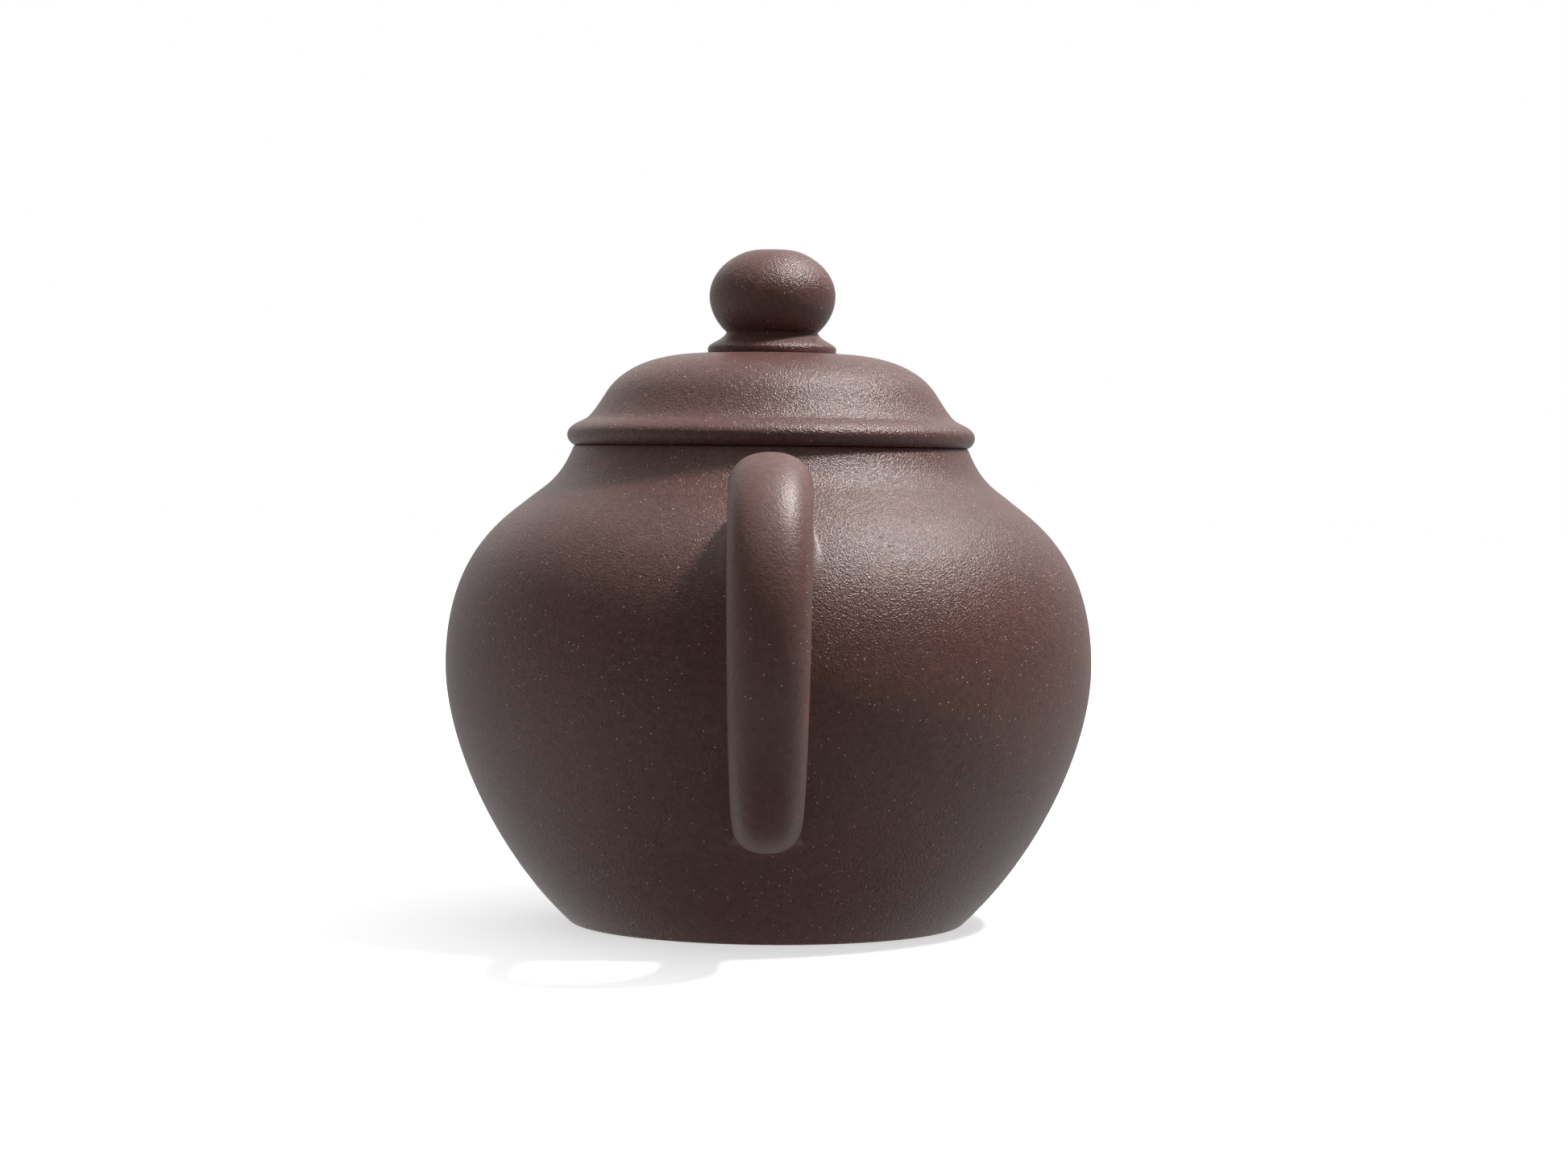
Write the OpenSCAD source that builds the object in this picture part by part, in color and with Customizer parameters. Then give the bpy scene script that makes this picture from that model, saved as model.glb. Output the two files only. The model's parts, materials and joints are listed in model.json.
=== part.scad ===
// Small unglazed clay teapot: a round pot with a ring handle and a curved spout, and a domed lid
// that drops into the mouth on a deep collar. Millimetres, +Z up. The origin is on the pot's axis,
// on the surface it stands on; the spout points along +Y and the handle along -Y.
// Each module is one piece of clay as it is formed at the bench before the pieces are luted together.

/* [Pot] */
// Diameter of the pot at its belly
belly_d = 80; // [70:0.5:100]
// Height of the belly's widest circle
belly_h = 32; // [27:0.5:36]
// Height of the mouth rim
rim_h = 58.9; // [54:0.1:72]
// Diameter of the ring that the pot stands on
foot_d = 48.6; // [42:0.2:58]
// Angle at which the wall leaves the table
foot_slope = 42; // [35:1:55]
// Thickness of the beaten wall and of the shoulder plate
wall_t = 3; // [2.2:0.1:3.8]
// Thickness of the base plate
base_t = 3; // [2:0.1:4]
// Height of the foot ring under the base plate
foot_h = 2.4; // [1.6:0.1:3.5]
// Width of the foot ring's flat underside
foot_w = 3.2; // [2:0.1:5]

/* [Shoulder and mouth] */
// Clear diameter of the mouth
mouth_d = 40.8; // [34:0.2:46]
// Thickness of the mouth ring at the rim
mouth_t = 4; // [2.6:0.1:4.8]
// Height of the mouth ring
mouth_ring_h = 3.4; // [2.6:0.1:4.5]
// How far the shoulder stands out beyond the rim where it turns up into the neck
shoulder_out = 5.2; // [4:0.1:6.5]
// How far below the rim the shoulder turns up into the neck
shoulder_drop = 6.4; // [5.5:0.1:7.5]
// Slope of the shoulder at that turn
shoulder_slope = 40; // [34:1:46]
// How far below the rim the shoulder plate is luted to the wall
shoulder_seam = 10.5; // [9:0.5:12]
// Depth of the shoulder plate's edge under the mouth ring
shoulder_edge_t = 2.4; // [1.8:0.1:3]

/* [Lid] */
// Gap all round between the lid's collar and the mouth
lid_fit = 0.15; // [0.08:0.01:0.35]
// Depth of the collar below the rim
collar_h = 9; // [6:0.5:11]
// Thickness of the collar
collar_t = 2.1; // [1.6:0.1:2.8]
// How far the lid's rim bead stands out beyond the mouth ring
bead_out = 0.85; // [0.4:0.05:1.6]
// Height of the rim bead
bead_h = 3.3; // [2.6:0.1:4]
// Height of the bead's widest circle above the rim
bead_low_h = 1.3; // [1:0.1:1.6]
// How far the dome's foot is set in from the bead
dome_in = 2.2; // [1.4:0.1:3]
// Height of the dome above the bead
dome_h = 8.2; // [6.5:0.1:11]
// How far the dome's side leans in before it turns over
dome_lean = 2.6; // [1.6:0.1:3.6]
// Height of the dome's side before it turns over
dome_side_h = 3.4; // [2.6:0.1:4.2]
// Thickness of the domed lid plate
lid_t = 2.8; // [2:0.1:3.4]

/* [Knob] */
// Diameter of the disc that the knob is luted to
seat_d = 15.9; // [13.5:0.1:18]
// Height of that disc, with its cone
seat_h = 2.7; // [2:0.1:3.5]
// Diameter of the knob's neck
knob_neck_d = 11.3; // [9:0.1:12.5]
// Greatest diameter of the knob
knob_d = 15.6; // [13.4:0.1:19]
// Height of the knob from its neck to its widest circle
knob_low_h = 4.5; // [3.5:0.1:5.5]
// Height of the knob from its widest circle to its top
knob_top_h = 5.7; // [4.5:0.1:7]
// Diameter of the small flat on top of the knob
knob_flat_d = 4.9; // [4:0.1:7]
// Diameter of the air hole through knob and lid
air_hole_d = 2.4; // [1.5:0.1:3.5]

/* [Handle] */
// Room for a finger between the belly and the handle
finger_gap = 14; // [11:0.5:20]
// How far the handle's crown is below the rim
crown_drop = 0.9; // [0:0.1:4]
// How far below the rim the handle's upper root is
upper_root_drop = 11; // [9:0.1:12]
// Height of the handle's lower root
lower_root_h = 14.4; // [13:0.2:17]
// Width of the handle at its crown
crown_w = 9.6; // [7:0.1:11]
// Width of the handle at its lower root
heel_w = 6.4; // [5.5:0.1:9]
// Thickness of the handle for each millimetre of its width
handle_round = 0.92; // [0.75:0.01:1]

/* [Spout] */
// Height of the spout's root
spout_root_h = 32; // [29:0.5:35]
// How far the spout's tip reaches beyond the belly
spout_reach = 24; // [20:0.5:30]
// How far the spout's bore stands back from the port all round
port_land = 1.9; // [1.2:0.1:2.6]
// Diameter of the spout at its tip
spout_tip_d = 11.6; // [10.5:0.1:13]
// Thickness of the spout's wall
spout_t = 2.1; // [1.8:0.1:2.4]

/* [Strainer] */
// Diameter of the opening from the pot into the spout
port_d = 16; // [13:0.5:19]
// Thickness of the strainer's wall
strainer_t = 1.6; // [1.2:0.1:2]
// Diameter of the strainer's holes
strainer_hole_d = 1.8; // [1.2:0.1:2.2]
// Rings of holes round the middle one
strainer_rings = 3; // [1:1:3]

/* [Hidden] */
$fn = 96;
// Steps along each curve of an outline
steps = 14;
// Sides of the handle's and the spout's sections
sides = 24;
// What a cut runs past the face it cuts
over = 1;
// Turn of the port about its own axis, which keeps its seam off the belly's widest circle
port_turn = 17;

belly_r = belly_d / 2;
foot_r = foot_d / 2;
mouth_r = mouth_d / 2;
rim_r = mouth_r + mouth_t;
base_top = foot_h + base_t;
seam_h = rim_h - shoulder_seam;
ring_seat_h = rim_h - mouth_ring_h;
edge_h = ring_seat_h - shoulder_edge_t;

// Cubic curve from a to d that starts towards b and arrives from c.
function curve(a, b, c, d, n = steps) = [for (i = [0 : n]) let (t = i / n, s = 1 - t)
    s * s * s * a + 3 * s * s * t * b + 3 * s * t * t * c + t * t * t * d];

// A list without its first point, for joining curves end to end.
function rest_of(path) = [for (i = [1 : len(path) - 1]) path[i]];

// A list from its last point to its first.
function backwards(path) = [for (i = [len(path) - 1 : -1 : 0]) path[i]];

// Direction of a path at its point i, as a unit vector.
function along(path, i) = let (
    back = path[max(i - 1, 0)],
    ahead = path[min(i + 1, len(path) - 1)]
) (ahead - back) / norm(ahead - back);

// The same path moved t to its left, which is inwards for an outline that climbs outside the wall.
function inset(path, t) = [for (i = [0 : len(path) - 1])
    let (d = along(path, i)) path[i] + t * [-d.y, d.x]];

// Radius of a climbing outline at height z.
function radius_at(path, z) = lookup(z, [for (p = path) [p.y, p.x]]);

// The stretch of a climbing outline between two heights.
function between(path, low, high) = concat(
    [[radius_at(path, low), low]],
    [for (p = path) if (p.y > low + 0.05 && p.y < high - 0.05) p],
    [[radius_at(path, high), high]]);

// A direction in the plane of an outline, from its angle above the outward one.
function heading(angle) = [cos(angle), sin(angle)];

// Outline of the pot: out and up from the foot to the belly, in over the shoulder, up to the rim.
foot_point = [foot_r, 0];
belly_point = [belly_r, belly_h];
shoulder_point = [rim_r + shoulder_out, rim_h - shoulder_drop];
rim_point = [rim_r, rim_h];
foot_pull = 0.4 * belly_h;
belly_pull_down = 0.3 * belly_h;
belly_pull_up = 0.68 * (shoulder_point.y - belly_h);
shoulder_pull = 0.35 * (belly_r - shoulder_point.x);
neck_pull = 0.36 * shoulder_drop;
rim_slope = 68;
pot_outline = concat(
    curve(foot_point, foot_point + foot_pull * heading(foot_slope),
        belly_point - [0, belly_pull_down], belly_point),
    rest_of(curve(belly_point, belly_point + [0, belly_pull_up],
        shoulder_point + shoulder_pull * heading(-shoulder_slope), shoulder_point)),
    rest_of(curve(shoulder_point, shoulder_point - neck_pull * heading(-shoulder_slope),
        rim_point + 2 * neck_pull * heading(-rim_slope), rim_point)));
cavity_outline = inset(pot_outline, wall_t);

// Outline of the lid's dome, from the groove above the bead to the flat where the knob's seat sits.
bead_r = rim_r + bead_out;
bead_top = rim_h + bead_h;
bead_wide = [bead_r, rim_h + bead_low_h];
dome_foot = [bead_r - dome_in, bead_top];
dome_top = [seat_d / 2 + 0.3, bead_top + dome_h];
dome_turn = dome_foot + [-dome_lean, dome_side_h];
dome_groove_slope = 27;
dome_side_slope = 57;
dome_outline = concat(
    curve(dome_foot, dome_foot - 0.2 * dome_lean * heading(-dome_groove_slope),
        dome_turn + 0.44 * dome_side_h * heading(-dome_side_slope), dome_turn),
    rest_of(curve(dome_turn, dome_turn - 0.6 * (dome_h - dome_side_h) * heading(-dome_side_slope),
        dome_top + [0.57 * (dome_turn.x - dome_top.x), 0], dome_top)));
dome_inside = inset(dome_outline, lid_t);
collar_r = mouth_r - lid_fit;
collar_in_r = collar_r - collar_t;
seat_top = dome_top.y + seat_h;
air_r = air_hole_d / 2;

// Sections of the handle's and the spout's paths lie in the plane of the pot's axis: [outward, up].
crown_t = crown_w * handle_round;
crown_point = [belly_r + 6.2, rim_h - crown_drop - crown_t / 2];
back_point = [belly_r + finger_gap + crown_t / 2, crown_point.y - 15];
upper_root = [radius_at(cavity_outline, rim_h - upper_root_drop) + 1, rim_h - upper_root_drop];
lower_root = [radius_at(cavity_outline, lower_root_h) + 0.6, lower_root_h];
heel_point = [lower_root.x + 13, lower_root_h + 2.2];
handle_path = concat(
    curve(upper_root, upper_root + 7 * heading(38), crown_point - [7, 0], crown_point, 9),
    rest_of(curve(crown_point, crown_point + [7, 0], back_point + [0, 9], back_point, 9)),
    rest_of(curve(back_point, back_point - [0, 11], heel_point + [8, 0.6], heel_point, 12)),
    rest_of(curve(heel_point, heel_point - [5, 0.4], lower_root + [4, 0.8], lower_root, 5)));

spout_root = [belly_r - wall_t - 1, spout_root_h];
spout_tip = [belly_r + spout_reach - spout_tip_d / 2, rim_h + 2];
spout_path = curve(spout_root, spout_root + [15, 1],
    spout_tip - 0.6 * (spout_tip.y - spout_root.y) * heading(64), spout_tip, 2 * steps);
spout_root_d = port_d + 2 * (port_land + spout_t);
port_r = port_d / 2;
strainer_centre = radius_at(cavity_outline, spout_root_h) - 0.5;

clay = [0.36, 0.27, 0.26];
dark_clay = [0.30, 0.22, 0.22];

// A round solid turned from a closed outline of [radius, height] points.
module turned(outline) rotate_extrude() polygon(outline);

// Everything that lies inside an outline, as one turned solid.
module inside_of(outline, low, high)
    turned(concat([[0, low]], between(outline, low, high), [[0, high]]));

// A bar swept along a path of [outward, up] points, with an elliptical section at each of them.
module swept(path, wide, thick) {
    points = [for (i = [0 : len(path) - 1], k = [0 : sides - 1])
        let (d = along(path, i), turn = 360 * k / sides)
        [wide[i] / 2 * cos(turn), path[i].x - d.y * thick[i] / 2 * sin(turn),
            path[i].y + d.x * thick[i] / 2 * sin(turn)]];
    skin = [for (i = [0 : len(path) - 2], k = [0 : sides - 1])
        let (a = i * sides + k, b = i * sides + (k + 1) % sides)
        [a, b, b + sides, a + sides]];
    start = [for (k = [sides - 1 : -1 : 0]) k];
    end = [for (k = [0 : sides - 1]) (len(path) - 1) * sides + k];
    polyhedron(points, concat(skin, [start, end]));
}

// Wall of the pot, beaten round from a strip, with the port into the spout cut through it.
module body_wall() color(clay) difference() {
    turned(concat(between(pot_outline, base_top, seam_h),
        backwards(between(cavity_outline, base_top, seam_h))));
    translate([0, belly_r, spout_root_h]) rotate([90, port_turn, 0])
        cylinder(d = port_d, h = 4 * wall_t, center = true);
}

// Plate that closes the top of the wall, with the mouth cut in it.
module shoulder_plate() color(clay) turned(concat(
    between(pot_outline, seam_h, ring_seat_h),
    [[mouth_r, ring_seat_h], [mouth_r, edge_h]],
    backwards(between(cavity_outline, seam_h, edge_h))));

// Ring that stands on the shoulder plate and carries the lid.
module mouth_ring() color(clay) turned(concat(
    between(pot_outline, ring_seat_h, rim_h),
    [[mouth_r, rim_h], [mouth_r, ring_seat_h]]));

// Round plate that closes the bottom of the wall.
module base_plate() color(clay) inside_of(pot_outline, foot_h, base_top);

// Low ring under the base plate; its flat underside is what the pot stands on.
module foot_ring() color(dark_clay) turned(concat(
    between(pot_outline, 0, foot_h),
    [[foot_r - foot_w, foot_h], [foot_r - foot_w, 0]]));

// Tapered tube from the wall to the pouring tip, cut off level with the rim.
module spout() color(clay) {
    last = len(spout_path) - 1;
    size = [for (i = [0 : last])
        spout_tip_d + (spout_root_d - spout_tip_d) * pow(1 - i / last, 1.5)];
    bore = [for (s = size) s - 2 * spout_t];
    difference() {
        swept(spout_path, size, size);
        swept(spout_path, bore, bore);
        inside_of(pot_outline, 0, rim_h);
        translate([-spout_tip_d, belly_r, rim_h])
            cube([2 * spout_tip_d, spout_reach + spout_tip_d, spout_tip_d]);
    }
}

// Half ball with holes, luted over the port from inside, that keeps the leaves out of the spout.
module ball_strainer() color(dark_clay) {
    outer_r = port_r + strainer_t;
    intersection() {
        translate([0, strainer_centre, spout_root_h]) rotate([90, 0, 0]) difference() {
            sphere(r = outer_r);
            sphere(r = port_r);
            for (ring = [0 : strainer_rings], k = [0 : max(6 * ring - 1, 0)])
                rotate([0, 20 * ring, 60 * k / max(ring, 1)]) translate([0, 0, port_r - over])
                    cylinder(d = strainer_hole_d, h = strainer_t + 2 * over, $fn = 24);
        }
        inside_of(cavity_outline, base_top, seam_h);
    }
}

// Ring handle: a tapered roll of clay from the shoulder out to the crown and down to the lower wall.
module handle() color(clay) {
    last = len(handle_path) - 1;
    wide = [for (i = [0 : last]) crown_w + (heel_w - crown_w) * pow(i / last, 3)];
    rotate([0, 0, 180]) difference() {
        swept(handle_path, wide, handle_round * wide);
        inside_of(pot_outline, 0, rim_h);
    }
}

// Domed plate of the lid.
module lid_plate() color(clay) turned(concat(
    dome_outline,
    [[air_r, dome_top.y], [air_r, dome_top.y - lid_t]],
    backwards(between(dome_inside, bead_top, dome_top.y - lid_t))));

// Rounded bead round the lid that rests on the mouth ring.
module lid_rim_bead() color(clay) turned(concat(
    [[collar_in_r, rim_h]],
    curve([rim_r - 0.1, rim_h], [rim_r + 0.4, rim_h + 0.15],
        bead_wide - [0, 0.5 * bead_low_h], bead_wide, 8),
    rest_of(curve(bead_wide, bead_wide + [0, 0.5 * (bead_h - bead_low_h)],
        dome_foot + 0.45 * dome_in * heading(-dome_groove_slope), dome_foot, 8)),
    [[collar_in_r, bead_top]]));

// Collar under the lid that reaches down into the mouth.
module lid_collar() color(clay) turned([
    [collar_in_r, rim_h], [collar_in_r, rim_h - collar_h],
    [collar_r - 0.5, rim_h - collar_h], [collar_r, rim_h - collar_h + 0.8], [collar_r, rim_h]]);

// Low disc on top of the dome that runs up into the knob's neck.
module knob_seat() color(clay) turned(concat(
    [[air_r, dome_top.y], [seat_d / 2, dome_top.y], [seat_d / 2, dome_top.y + 0.3 * seat_h]],
    rest_of(curve([seat_d / 2, dome_top.y + 0.3 * seat_h], [seat_d / 2 - 0.3, seat_top - 1.2],
        [knob_neck_d / 2 + 0.4, seat_top - 0.7], [knob_neck_d / 2, seat_top], 8)),
    [[air_r, seat_top]]));

// Knob: a ball flattened a little, with the air hole down its middle.
module knob() color(clay) {
    wide_h = seat_top + knob_low_h;
    start = acos(knob_neck_d / knob_d);
    end = acos(knob_flat_d / knob_d);
    turned(concat(
        [[air_r, seat_top]],
        [for (i = [0 : steps]) let (a = -start * (1 - i / steps))
            [knob_d / 2 * cos(a), wide_h + knob_low_h * sin(a) / sin(start)]],
        [for (i = [1 : steps]) let (a = end * i / steps)
            [knob_d / 2 * cos(a), wide_h + knob_top_h * sin(a) / sin(end)]],
        [[air_r, wide_h + knob_top_h]]));
}

body_wall();
shoulder_plate();
mouth_ring();
base_plate();
foot_ring();
spout();
ball_strainer();
handle();
lid_plate();
lid_rim_bead();
lid_collar();
knob_seat();
knob();
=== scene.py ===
# %% [markdown]
# # A small clay teapot
#
# The real pot is unglazed stoneware, made by hand from 13 pieces of clay that are luted together while
# they are leather-hard. Its walls are beaten, turned and scraped to clean outlines, so nearly every
# piece is round about one axis. Only the handle, the spout and the strainer behind the spout are not.
#
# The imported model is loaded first. It is the fixed frame: it says how big each piece is, where it sits
# and which of the two bodies, the pot or the lid, it moves with. Everything below is in metres, with
# the pot's axis on Z, the spout along +Y and the handle along -Y.

# %% Load the frame
import json
import math

import bpy
import numpy as np
from mathutils import Euler, Matrix, Vector

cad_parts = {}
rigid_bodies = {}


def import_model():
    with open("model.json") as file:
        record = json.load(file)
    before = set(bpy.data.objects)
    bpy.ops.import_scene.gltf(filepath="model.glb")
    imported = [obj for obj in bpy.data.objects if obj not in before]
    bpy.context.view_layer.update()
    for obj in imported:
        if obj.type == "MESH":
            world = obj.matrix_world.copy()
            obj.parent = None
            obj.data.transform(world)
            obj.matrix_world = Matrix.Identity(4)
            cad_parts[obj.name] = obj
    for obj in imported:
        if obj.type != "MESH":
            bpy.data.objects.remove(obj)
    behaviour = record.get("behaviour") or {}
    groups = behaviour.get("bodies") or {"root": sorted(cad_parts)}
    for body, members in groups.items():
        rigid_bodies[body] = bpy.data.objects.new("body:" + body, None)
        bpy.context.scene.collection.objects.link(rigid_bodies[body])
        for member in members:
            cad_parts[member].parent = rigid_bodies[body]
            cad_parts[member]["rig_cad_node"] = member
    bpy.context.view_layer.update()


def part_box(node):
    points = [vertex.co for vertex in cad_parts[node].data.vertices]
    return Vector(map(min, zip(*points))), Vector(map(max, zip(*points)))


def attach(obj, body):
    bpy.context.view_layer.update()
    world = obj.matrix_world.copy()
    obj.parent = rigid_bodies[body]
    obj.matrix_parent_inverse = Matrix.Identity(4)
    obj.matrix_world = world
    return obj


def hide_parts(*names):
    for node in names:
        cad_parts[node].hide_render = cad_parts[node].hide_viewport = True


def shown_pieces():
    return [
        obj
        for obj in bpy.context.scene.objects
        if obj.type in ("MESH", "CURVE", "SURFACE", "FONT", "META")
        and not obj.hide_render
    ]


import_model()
MM = 0.001

# %% [markdown]
# ## Sizes
#
# A maker works from a few sizes: the belly, the foot, the heights of the joints and the lid's fit.
# Those that the frame fixes are read from the boxes of its pieces, so that this script follows the
# frame if its sizes change. The rest are the small radii and offsets that shape the outlines between.

# %% Sizes read from the frame
belly_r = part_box("body_wall")[1].x
base_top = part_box("body_wall")[0].z
seam_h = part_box("body_wall")[1].z
foot_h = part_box("foot_ring")[1].z
ring_seat_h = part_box("mouth_ring")[0].z
rim_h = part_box("mouth_ring")[1].z
shoulder_edge_h = ring_seat_h - 2.4 * MM
bead_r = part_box("lid_rim_bead")[1].x
bead_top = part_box("lid_rim_bead")[1].z
collar_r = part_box("lid_collar")[1].x
collar_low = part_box("lid_collar")[0].z
dome_top_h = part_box("lid_plate")[1].z
seat_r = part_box("knob_seat")[1].x
seat_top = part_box("knob_seat")[1].z
knob_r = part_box("knob")[1].x
knob_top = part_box("knob")[1].z
print(f"belly {2000 * belly_r:.1f} mm, rim at {1000 * rim_h:.1f} mm, top at {1000 * knob_top:.1f} mm")

# %% Sizes of the clay itself
wall_t = 3.0 * MM
foot_r = 24.3 * MM
foot_w = 3.2 * MM
belly_h = 0.543 * rim_h
lid_fit = 0.15 * MM
mouth_r = collar_r + lid_fit
rim_r = bead_r - 0.85 * MM
collar_in_r = collar_r - 2.1 * MM
lid_t = 2.8 * MM
air_r = 1.2 * MM

# %% [markdown]
# ## Curves and outlines
#
# A potter shapes an outline with one sweep of the arm. A cubic curve does the same: it leaves one
# point in a given direction, arrives at the next in another, and has no kink between them. An outline
# is a list of [radius, height] points taken from a few such curves, joined where their directions agree.

# %% Helpers for outlines
def curve(a, b, c, d, steps=80):
    """Cubic curve that leaves a towards b and arrives at d from c:
    (1-t)^3 a + 3 (1-t)^2 t b + 3 (1-t) t^2 c + t^3 d, for t from 0 to 1."""
    t = np.linspace(0, 1, steps + 1)[:, None]
    s = 1 - t
    a, b, c, d = (np.asarray(p, float) for p in (a, b, c, d))
    return s**3 * a + 3 * s * s * t * b + 3 * s * t * t * c + t**3 * d


def heading(degrees):
    """Unit vector in the plane of an outline, at an angle above the outward direction."""
    return np.array([math.cos(math.radians(degrees)), math.sin(math.radians(degrees))])


def joined(*curves):
    """Curves laid end to end, without the points that two of them share."""
    return np.vstack([curves[0]] + [c[1:] for c in curves[1:]])


def lengths(line):
    """Distance travelled along a line of points, from 0 at its first point."""
    return np.concatenate([[0], np.cumsum(np.linalg.norm(np.diff(line, axis=0), axis=1))])


def picked(line, at):
    """Points of a line at the given distances along it."""
    run = lengths(line)
    return np.stack([np.interp(at, run, line[:, i]) for i in range(line.shape[1])], -1)


def stretch(outline, low, high, spacing=0.6 * MM):
    """The part of a climbing outline between two heights, as evenly spaced points."""
    ends = np.interp([low, high], outline[:, 1], lengths(outline))
    return picked(outline, np.linspace(*ends, max(3, round((ends[1] - ends[0]) / spacing) + 1)))


def inset(outline, thickness):
    """The same outline moved inwards by the thickness of the clay, square to itself."""
    d = np.gradient(outline, axis=0)
    d /= np.linalg.norm(d, axis=1, keepdims=True)
    return outline + thickness * np.column_stack([-d[:, 1], d[:, 0]])


def rounded(outline, corners, steps=6):
    """A closed outline with some of its corners wiped round, as a wet finger leaves them. From a,
    just before the corner, to b, just after it: (1-t)^2 a + 2 (1-t) t corner + t^2 b."""
    for corner, reach in corners:
        corner = np.asarray(corner, float)
        first = np.argmin(np.linalg.norm(outline - corner, axis=1))
        ring = np.roll(outline, -first, axis=0)
        ring = np.vstack([ring, ring[:1]])
        run = lengths(ring)
        a, b = picked(ring, np.array([run[-1] - reach, reach]))
        t = np.linspace(0, 1, steps + 1)[:, None]
        arc = (1 - t) ** 2 * a + 2 * (1 - t) * t * ring[0] + t * t * b
        kept = ring[(run > reach * 1.02) & (run < run[-1] - reach * 1.02)]
        outline = np.vstack([arc, kept])
    return outline


# %% Outline of the pot, from the foot to the rim
foot_point = np.array([foot_r, 0])
belly_point = np.array([belly_r, belly_h])
shoulder_point = np.array([rim_r + 5.24 * MM, rim_h - 6.4 * MM])
rim_point = np.array([rim_r, rim_h])
pot_outline = joined(
    curve(foot_point, foot_point + 12.8 * MM * heading(42), belly_point - [0, 9.6 * MM], belly_point),
    curve(belly_point, belly_point + [0, 13.9 * MM],
          shoulder_point + 3.65 * MM * heading(-39.6), shoulder_point),
    curve(shoulder_point, shoulder_point - 2.28 * MM * heading(-39.6),
          rim_point + 4.58 * MM * heading(-68.6), rim_point))
cavity_outline = inset(pot_outline, wall_t)
print("pot outline", len(pot_outline), "points,", round(1000 * lengths(pot_outline)[-1], 1), "mm long")

# %% [markdown]
# The lid's outline swings out over the mouth as a small bead, turns in through a soft groove and goes
# over the dome to the flat where the knob's disc is luted. The bead and the dome share the groove's
# direction, 27 degrees, so that no line shows where the two pieces meet.

# %% Outline of the lid
bead_wide = np.array([bead_r, rim_h + 1.33 * MM])
groove = np.array([bead_r - 2.23 * MM, bead_top])
dome_turn = groove + np.array([-2.62, 3.41]) * MM
dome_top = np.array([seat_r + 0.3 * MM, dome_top_h])
bead_outline = joined(
    curve([rim_r - 0.1 * MM, rim_h], [rim_r + 0.38 * MM, rim_h + 0.16 * MM],
          bead_wide - [0, 0.64 * MM], bead_wide, 24),
    curve(bead_wide, bead_wide + [0, 1.05 * MM], groove + 1.01 * MM * heading(-27.3), groove, 24))
dome_outline = joined(
    curve(groove, groove - 0.87 * MM * heading(-27.3), dome_turn + 1.51 * MM * heading(-57.5), dome_turn),
    curve(dome_turn, dome_turn - 2.91 * MM * heading(-57.5), dome_top + [7.0 * MM, 0], dome_top))
dome_inside = inset(dome_outline, lid_t)
print(f"dome {1000 * (dome_top_h - bead_top):.2f} mm high on a bead {2000 * bead_r:.1f} mm across")

# %% [markdown]
# ## From a grid to a piece
#
# Every surface here is a grid of points: one direction runs along an outline or a path, the other runs
# round it. Faces join each point to its neighbours, in the order that makes them look outwards. A ring
# of clay closes on itself in both directions; a bar is closed at its two ends by a fan of triangles.
#
# A pot made by hand is never perfectly round. All grids pass through one function that draws the clay
# in by a few hundredths of a millimetre in slow waves, so that a highlight wavers a little, as it does
# on the real thing, while neighbouring pieces still meet exactly.

# %% Helpers that turn a grid into a piece
AROUND = 240


def hand_made(points):
    """Radius times 1 - 0.0007 (1 + w), where w adds three slow waves round and up the pot."""
    x, y, z = points[..., 0], points[..., 1], points[..., 2]
    turn = np.arctan2(y, x)
    w = (np.sin(2 * turn + 0.8 + 60 * z) + 0.7 * np.sin(5 * turn - 1.7 - 110 * z)
         + 0.5 * np.sin(9 * turn + 0.6 + 190 * z)) / 2.2
    share = 1 - 0.0007 * (1 + w)
    return np.stack([x * share, y * share, z], -1)


def grid_faces(rows, columns, loop):
    """Quads of a grid whose columns run round. With loop, the last row joins the first."""
    i = np.arange(rows if loop else rows - 1)[:, None]
    k = np.arange(columns)[None, :]
    j, n = (i + 1) % rows, (k + 1) % columns
    return np.stack(np.broadcast_arrays(
        i * columns + k, i * columns + n, j * columns + n, j * columns + k), -1).reshape(-1, 4)


def piece_from(name, grid, node, body, loop=True, sharp=35):
    """Puts a grid into a mesh that stands for one piece of the frame. Edges that turn by more than
    sharp degrees stay crisp; the rest are shaded as one smooth surface."""
    rows, columns = grid.shape[:2]
    points = hand_made(grid.reshape(-1, 3))
    faces = grid_faces(rows, columns, loop).tolist()
    if not loop:
        k = np.arange(columns)
        n, low, high = (k + 1) % columns, rows * columns, rows * columns + 1
        points = np.vstack([points, points[:columns].mean(0), points[-columns:].mean(0)])
        faces += np.column_stack([np.full(columns, low), n, k]).tolist()
        faces += np.column_stack([np.full(columns, high), low - columns + k, low - columns + n]).tolist()
    mesh = bpy.data.meshes.new(name)
    mesh.from_pydata(points.tolist(), [], faces)
    mesh.update()
    mesh.shade_smooth()
    mesh.set_sharp_from_angle(angle=math.radians(sharp))
    piece = bpy.data.objects.new(name, mesh)
    bpy.context.scene.collection.objects.link(piece)
    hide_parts(node)
    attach(piece, body)
    print(f"{name}: {rows} x {columns} points, {len(faces)} faces")
    return piece


def turned(name, outline, node, body, loop=True, around=AROUND):
    """A piece turned on the wheel: point (i, k) is (r_i cos a_k, r_i sin a_k, z_i), with the angle
    a_k going once round. The outline climbs on the outside and comes down on the inside."""
    a = np.arange(around) * 2 * math.pi / around
    r, z = outline[:, :1], outline[:, 1:]
    return piece_from(name, np.stack([r * np.cos(a), r * np.sin(a), z + 0 * a], -1), node, body, loop)


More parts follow.
